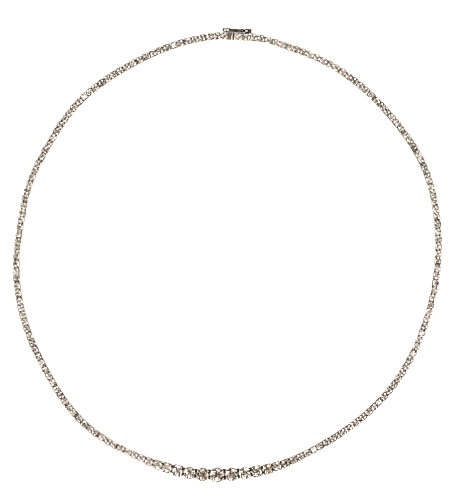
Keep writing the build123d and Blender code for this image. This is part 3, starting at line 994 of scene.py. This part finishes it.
def row_tree():
    """Copies one unit at even steps along a stretch of the row."""
    tree = bpy.data.node_groups.new("row_of_units", "GeometryNodeTree")
    face = tree.interface
    inputs = {
        "Geometry": "Geometry",
        "Unit": "Object",
        "Count": "Int",
        "First middle": "Float",
        "Last middle": "Float",
        "Turn": "Float",
        "Tilt": "Float",
        "Seed": "Int",
        "Material": "Material",
    }
    for name, kind in inputs.items():
        face.new_socket(name, in_out="INPUT", socket_type=f"NodeSocket{kind}")
    face.new_socket("Geometry", in_out="OUTPUT", socket_type="NodeSocketGeometry")
    n = Nodes(tree)
    given, finish = n.add("NodeGroupInput").outputs, n.add("NodeGroupOutput")
    trim = n.add("GeometryNodeTrimCurve", mode="LENGTH")
    lengths = {socket.identifier: socket for socket in trim.inputs}
    n.link(given["Geometry"], trim.inputs["Curve"])
    n.link(given["First middle"], lengths["Start_001"])
    n.link(given["Last middle"], lengths["End_001"])
    spots = n.wire(n.add("GeometryNodeCurveToPoints", mode="COUNT"), {
        "Curve": trim.outputs["Curve"],
        "Count": given["Count"],
    })
    along = n.wire(n.add("FunctionNodeAlignRotationToVector", axis="X", pivot_axis="Z"), {
        "Vector": spots.outputs["Tangent"],
    })
    low, high = n.add("ShaderNodeCombineXYZ"), n.add("ShaderNodeCombineXYZ")
    for name, axes in (("Tilt", "XY"), ("Turn", "Z")):
        back = n.math("MULTIPLY", given[name], -1.0)
        for axis in axes:
            n.link(back, low.inputs[axis])
            n.link(given[name], high.inputs[axis])
    chance = n.wire(n.add("FunctionNodeRandomValue", data_type="FLOAT_VECTOR"), {
        "Min": low.outputs[0],
        "Max": high.outputs[0],
        "Seed": given["Seed"],
    })
    own = n.wire(n.add("FunctionNodeEulerToRotation"), {"Euler": chance.outputs["Value"]})
    both = n.wire(n.add("FunctionNodeRotateRotation", rotation_space="LOCAL"), {
        "Rotation": along.outputs["Rotation"],
        "Rotate By": own.outputs["Rotation"],
    })
    unit = n.wire(n.add("GeometryNodeObjectInfo", transform_space="ORIGINAL"), {
        "Object": given["Unit"],
    })
    copies = n.wire(n.add("GeometryNodeInstanceOnPoints"), {
        "Points": spots.outputs["Points"],
        "Instance": unit.outputs["Geometry"],
        "Rotation": both.outputs["Rotation"],
    })
    real = n.wire(n.add("GeometryNodeRealizeInstances"), {"Geometry": copies.outputs["Instances"]})
    paint = n.wire(n.add("GeometryNodeSetMaterial"), {
        "Geometry": real.outputs["Geometry"],
        "Material": given["Material"],
    })
    n.link(paint.outputs["Geometry"], finish.inputs["Geometry"])
    return tree


def loop_curve():
    """The middle line of the row, from the front stone once round to it again."""
    curve = bpy.data.curves.new("row_path", "CURVE")
    curve.dimensions = "3D"
    line = curve.splines.new("POLY")
    line.points.add(len(LOOP_POINTS) - 1)
    for spot, (x, y) in zip(line.points, LOOP_POINTS):
        spot.co = (x * MM, y * MM, 0, 1)
    return curve


def row_of(name, unit_mesh, finish, start, count, turn=0.0, tilt=0.0, seed=1):
    """Mesh of a stretch of the row, made by the tree from one unit."""
    tree = bpy.data.node_groups.get("row_of_units") or row_tree()
    unit = bpy.data.objects.new("one_unit", unit_mesh)
    path = new_object("row_path", loop_curve())
    values = {
        "Unit": unit,
        "Count": count,
        "First middle": (start + SMALL_UNIT_LENGTH / 2) * MM,
        "Last middle": (start + (count - 0.5) * SMALL_UNIT_LENGTH) * MM,
        "Turn": turn,
        "Tilt": tilt,
        "Seed": seed,
        "Material": finish_of(finish),
    }
    modifier = path.modifiers.new("row_of_units", "NODES")
    modifier.node_group = tree
    for item in tree.interface.items_tree:
        if item.in_out == "INPUT" and item.name in values:
            modifier[item.identifier] = values[item.name]
    done = path.evaluated_get(bpy.context.evaluated_depsgraph_get())
    mesh = bpy.data.meshes.new_from_object(done)
    if not mesh.polygons:
        raise RuntimeError(f"the row {name} came out empty")
    mesh.name = name
    path.modifiers.remove(modifier)
    bpy.data.objects.remove(path)
    bpy.data.objects.remove(unit)
    return mesh


LINES = {
    # name: (length at its start, number of units)
    "line_right": (HALF_FRONT, SMALL_RIGHT),
    "line_left": (NECKLACE_LENGTH - HALF_FRONT - SMALL_LEFT * SMALL_UNIT_LENGTH, SMALL_LEFT),
}


def front_units():
    """Number, unit and place of each stone of the graduated front."""
    end = -HALF_FRONT
    for number, length in enumerate(FRONT_LENGTHS, start=1):
        yield number, Unit(length), place_between(end, end + length)
        end += length


# Shared by all colour settings
COLOUR = {"size": 3, "min": 0, "max": 1, "subtype": "COLOR"}


class NecklaceFinish(bpy.types.PropertyGroup):
    """Colours of the metal and of the stones."""

    gold: FloatVectorProperty(
        name="White gold", description="Colour of clean metal",
        default=(0.80, 0.765, 0.72), **COLOUR)
    # Dark brown for worn patches, and for the painted shade between and under the settings
    gold_grime_and_shade: FloatVectorProperty(
        name="Grime", description="Colour of metal in worn or soiled places",
        default=(0.030, 0.019, 0.012), **COLOUR)
    # Painted shade: the catch's white gold, painted dark
    catch_shade: FloatVectorProperty(
        name="Catch shade", description="Colour of the safety catch, duller than the rest",
        default=(0.075, 0.056, 0.042), **COLOUR)
    diamond: FloatVectorProperty(
        name="Diamond", description="Tint of the lightest facets",
        default=(1.0, 0.955, 0.90), **COLOUR)
    # Dark end of the facets' tints: a painted dark reflection
    diamond_dark_reflection: FloatVectorProperty(
        name="Diamond shade", description="Tint of the darkest facets",
        default=(0.36, 0.265, 0.19), **COLOUR)


class NecklaceStones(bpy.types.PropertyGroup):
    """How the stones lie in their settings."""

    turn: FloatProperty(
        name="Turn", description="Most that a stone is turned about its own axis",
        default=math.radians(180), subtype="ANGLE")
    tilt: FloatProperty(
        name="Tilt", description="Most that a stone leans in its setting",
        default=math.radians(5), subtype="ANGLE")
    seed: IntProperty(name="Seed", description="Choice of turns and tilts", default=7)


class NecklaceStage(bpy.types.PropertyGroup):
    """Camera and light."""

    view_width: FloatProperty(
        name="View", description="Width of the long side of the picture at the necklace",
        default=155.56 * MM, unit="LENGTH")
    lens: FloatProperty(name="Lens", description="Focal length", default=180.0, unit="CAMERA")
    aim: FloatVectorProperty(
        name="Aim", description="Point above the floor that the camera looks straight down at",
        default=(2.22 * MM, 1.52 * MM, 1.50 * MM), size=3, unit="LENGTH", subtype="TRANSLATION")
    paper: FloatVectorProperty(
        name="Paper", description="Colour of the floor",
        default=(0.93, 0.93, 0.93), **COLOUR)
    dark: FloatVectorProperty(
        name="Dark", description="Colour of the room between the panels",
        default=(0.070, 0.048, 0.034), **COLOUR)
    horizon: FloatVectorProperty(
        name="Horizon", description="Colour of the room low down, all round",
        default=(0.82, 0.76, 0.70), **COLOUR)


class NECKLACE_OT_line_settings(bpy.types.Operator):
    """Builds the small claw settings of both sides"""

    bl_idname = "necklace.line_settings"
    bl_label = "Small settings"

    def execute(self, context):
        for name, (start, count) in LINES.items():
            unit_mesh = linked_basket(Unit(SMALL_UNIT_LENGTH)).mesh("small_setting")
            mesh = row_of(f"{name}_settings", unit_mesh, "polished_white_gold", start, count)
            piece(f"{name}_settings", mesh, "polished_white_gold", [name])
        return {"FINISHED"}


class NECKLACE_OT_line_stones(bpy.types.Operator):
    """Builds the small stones of both sides"""

    bl_idname = "necklace.line_stones"
    bl_label = "Small stones"

    def execute(self, context):
        lie = context.scene.necklace_stones
        unit = Unit(SMALL_UNIT_LENGTH)
        for shift, (name, (start, count)) in enumerate(LINES.items()):
            unit_mesh = brilliant(unit.stone, unit.girdle_z).mesh("small_stone", crease=0)
            painted_facet_reflections(unit_mesh, lie.seed, SMALL_REFLECTION_BIAS)
            mesh = row_of(f"{name}_stones", unit_mesh, "cut_diamond", start, count,
                          lie.turn, lie.tilt, lie.seed + shift)
            piece(f"{name}_stones", mesh, "cut_diamond", [name])
        return {"FINISHED"}


class NECKLACE_OT_front_settings(bpy.types.Operator):
    """Builds the claw settings of the graduated front"""

    bl_idname = "necklace.front_settings"
    bl_label = "Front settings"

    def execute(self, context):
        for number, unit, place in front_units():
            name = f"claw_setting_{number:02}"
            mesh = linked_basket(unit).at(place).mesh(name)
            piece(name, mesh, "polished_white_gold", [f"setting_{number:02}"])
        return {"FINISHED"}


class NECKLACE_OT_front_stones(bpy.types.Operator):
    """Builds the brilliants of the graduated front"""

    bl_idname = "necklace.front_stones"
    bl_label = "Front stones"

    def execute(self, context):
        lie = context.scene.necklace_stones
        set_stones("brilliant", "stone", front_units(), lie.turn, lie.seed)
        return {"FINISHED"}


class NECKLACE_OT_clasp(bpy.types.Operator):
    """Builds the clasp's box and tongue with their stones"""

    bl_idname = "necklace.clasp"
    bl_label = "Clasp"

    def execute(self, context):
        for name, made in (("clasp_box", clasp_box), ("clasp_tongue", clasp_tongue)):
            mesh = made().at(CLASP_PLACE).mesh(f"{name}_metal")
            piece(f"{name}_metal", mesh, "worn_white_gold", [name])
        lie = context.scene.necklace_stones
        unit = Unit(CLASP_UNIT_LENGTH)
        seats = [(number, unit, CLASP_PLACE @ Matrix.Translation((x, 0, 0)))
                 for number, x in enumerate(BOX_STONES + (TONGUE_STONE,), start=1)]
        set_stones("clasp_brilliant", "clasp_stone", seats, lie.turn, lie.seed + CLASP_SEED_SHIFT)
        return {"FINISHED"}


class NECKLACE_OT_safety_catch(bpy.types.Operator):
    """Builds the figure-eight safety catch"""

    bl_idname = "necklace.safety_catch"
    bl_label = "Safety catch"

    def execute(self, context):
        mesh = safety_catch().at(CLASP_PLACE).mesh("figure_eight")
        # The catch is painted dark with painted shade
        piece("figure_eight", mesh, "tarnished_white_gold",
              ["safety_catch"], "safety_catch")
        return {"FINISHED"}


def area_light(name, place, size, power, colour):
    """Soft square light at a place in metres, aimed at the middle of the floor."""
    light = bpy.data.lights.new(name, "AREA")
    light.size = size
    light.energy = power
    light.color = colour
    obj = new_object(name, light)
    obj.location = place
    obj.rotation_euler = (-Vector(place)).to_track_quat("-Z", "Y").to_euler()


# Floor, lights and camera, in metres
FLOOR_REACH = 1.5
CLIP_NEAR = 0.01
CLIP_FAR = 10.0
PANEL_DISTANCE = 0.80
PANEL_COLOUR = (1.0, 0.93, 0.86)
PANELS = [
    # (name, bearing in degrees from +Y, height in degrees, side in metres, radiance)
    ("panel_back_left", -40, 62, 0.32, 3.8),
    ("panel_back_right", 62, 58, 0.30, 3.8),
    ("panel_front_right", 150, 63, 0.32, 3.8),
    ("panel_front_left", -125, 59, 0.30, 3.8),
    ("panel_low_back", 12, 34, 0.36, 3.6),
    ("panel_low_right", 106, 32, 0.36, 3.6),
    ("panel_low_front", 194, 34, 0.36, 3.6),
    ("panel_low_left", -80, 32, 0.36, 3.6),
]


# Heights between which the pale horizon fades into the dark
FADE = (0.10, 0.34)


def studio_world(dark, horizon):
    """Room that is pale low down and dark above, so that facets find both."""
    world = bpy.data.worlds.new("studio")
    world.use_nodes = True
    n = Nodes(world.node_tree)
    back = world.node_tree.nodes["Background"]
    place = n.add("ShaderNodeTexCoord")
    split = n.add("ShaderNodeSeparateXYZ")
    n.link(place.outputs["Generated"], split.inputs[0])
    rise = n.rise(split.outputs["Z"], FADE, interpolation_type="SMOOTHSTEP")
    n.link(n.blend(rise, horizon, dark), back.inputs["Color"])
    return world


class NECKLACE_OT_stage(bpy.types.Operator):
    """Sets up the floor, the light and the camera straight above"""

    bl_idname = "necklace.stage"
    bl_label = "Stage"

    def execute(self, context):
        scene = context.scene
        stage = scene.necklace_stage
        mesh = bpy.data.meshes.new("floor")
        corners = [(-1, -1), (1, -1), (1, 1), (-1, 1)]
        points = [(x * FLOOR_REACH, y * FLOOR_REACH, CAD_BOX[0][2]) for x, y in corners]
        mesh.from_pydata(points, [], [(0, 1, 2, 3)])
        mesh.materials.append(paper_material("pale_paper", stage.paper))
        new_object("floor", mesh)

        scene.world = studio_world(stage.dark, stage.horizon)
        for name, bearing, height, size, radiance in PANELS:
            angle = math.radians(bearing)
            away = PANEL_DISTANCE * math.cos(math.radians(height))
            place = (away * math.sin(angle), away * math.cos(angle),
                     PANEL_DISTANCE * math.sin(math.radians(height)))
            area_light(name, place, size, radiance * math.pi * size ** 2, PANEL_COLOUR)

        lens = bpy.data.cameras.new("camera")
        lens.lens = stage.lens
        lens.clip_start = CLIP_NEAR
        lens.clip_end = CLIP_FAR
        distance = stage.view_width * lens.lens / lens.sensor_width
        scene.camera = new_object("camera", lens)
        scene.camera.location = Vector(stage.aim) + Vector((0, 0, distance))
        scene.view_settings.view_transform = "Standard"
        scene.cycles.filter_width = 1.0
        return {"FINISHED"}


class NECKLACE_PT_panel(bpy.types.Panel):
    """Sizes, colours and the steps that build the necklace"""

    bl_label = "Riviere necklace"
    bl_idname = "NECKLACE_PT_panel"
    bl_space_type = "VIEW_3D"
    bl_region_type = "UI"
    bl_category = "Necklace"

    def draw(self, context):
        scene = context.scene
        for group in (scene.necklace_finish, scene.necklace_stones, scene.necklace_stage):
            box = self.layout.box()
            for name in group.__annotations__:
                box.prop(group, name)
        for step in STEPS:
            self.layout.operator(step.bl_idname)


STEPS = (
    NECKLACE_OT_line_settings,
    NECKLACE_OT_line_stones,
    NECKLACE_OT_front_settings,
    NECKLACE_OT_front_stones,
    NECKLACE_OT_clasp,
    NECKLACE_OT_safety_catch,
    NECKLACE_OT_stage,
)
GROUPS = {
    "necklace_finish": NecklaceFinish,
    "necklace_stones": NecklaceStones,
    "necklace_stage": NecklaceStage,
}


def register():
    """Adds the classes and hangs the settings on the scene."""
    for kind in (*GROUPS.values(), *STEPS, NECKLACE_PT_panel):
        bpy.utils.register_class(kind)
    for name, kind in GROUPS.items():
        setattr(bpy.types.Scene, name, PointerProperty(type=kind))


def unregister():
    """Takes the settings and the classes away again."""
    for name in GROUPS:
        delattr(bpy.types.Scene, name)
    for kind in (NECKLACE_PT_panel, *reversed(STEPS), *GROUPS.values()):
        bpy.utils.unregister_class(kind)


def main():
    """Builds the necklace and its stage."""
    register()
    bpy.ops.necklace.line_settings()
    bpy.ops.necklace.line_stones()
    bpy.ops.necklace.front_settings()
    bpy.ops.necklace.front_stones()
    bpy.ops.necklace.clasp()
    bpy.ops.necklace.safety_catch()
    bpy.ops.necklace.stage()


if __name__ == "__main__":
    main()
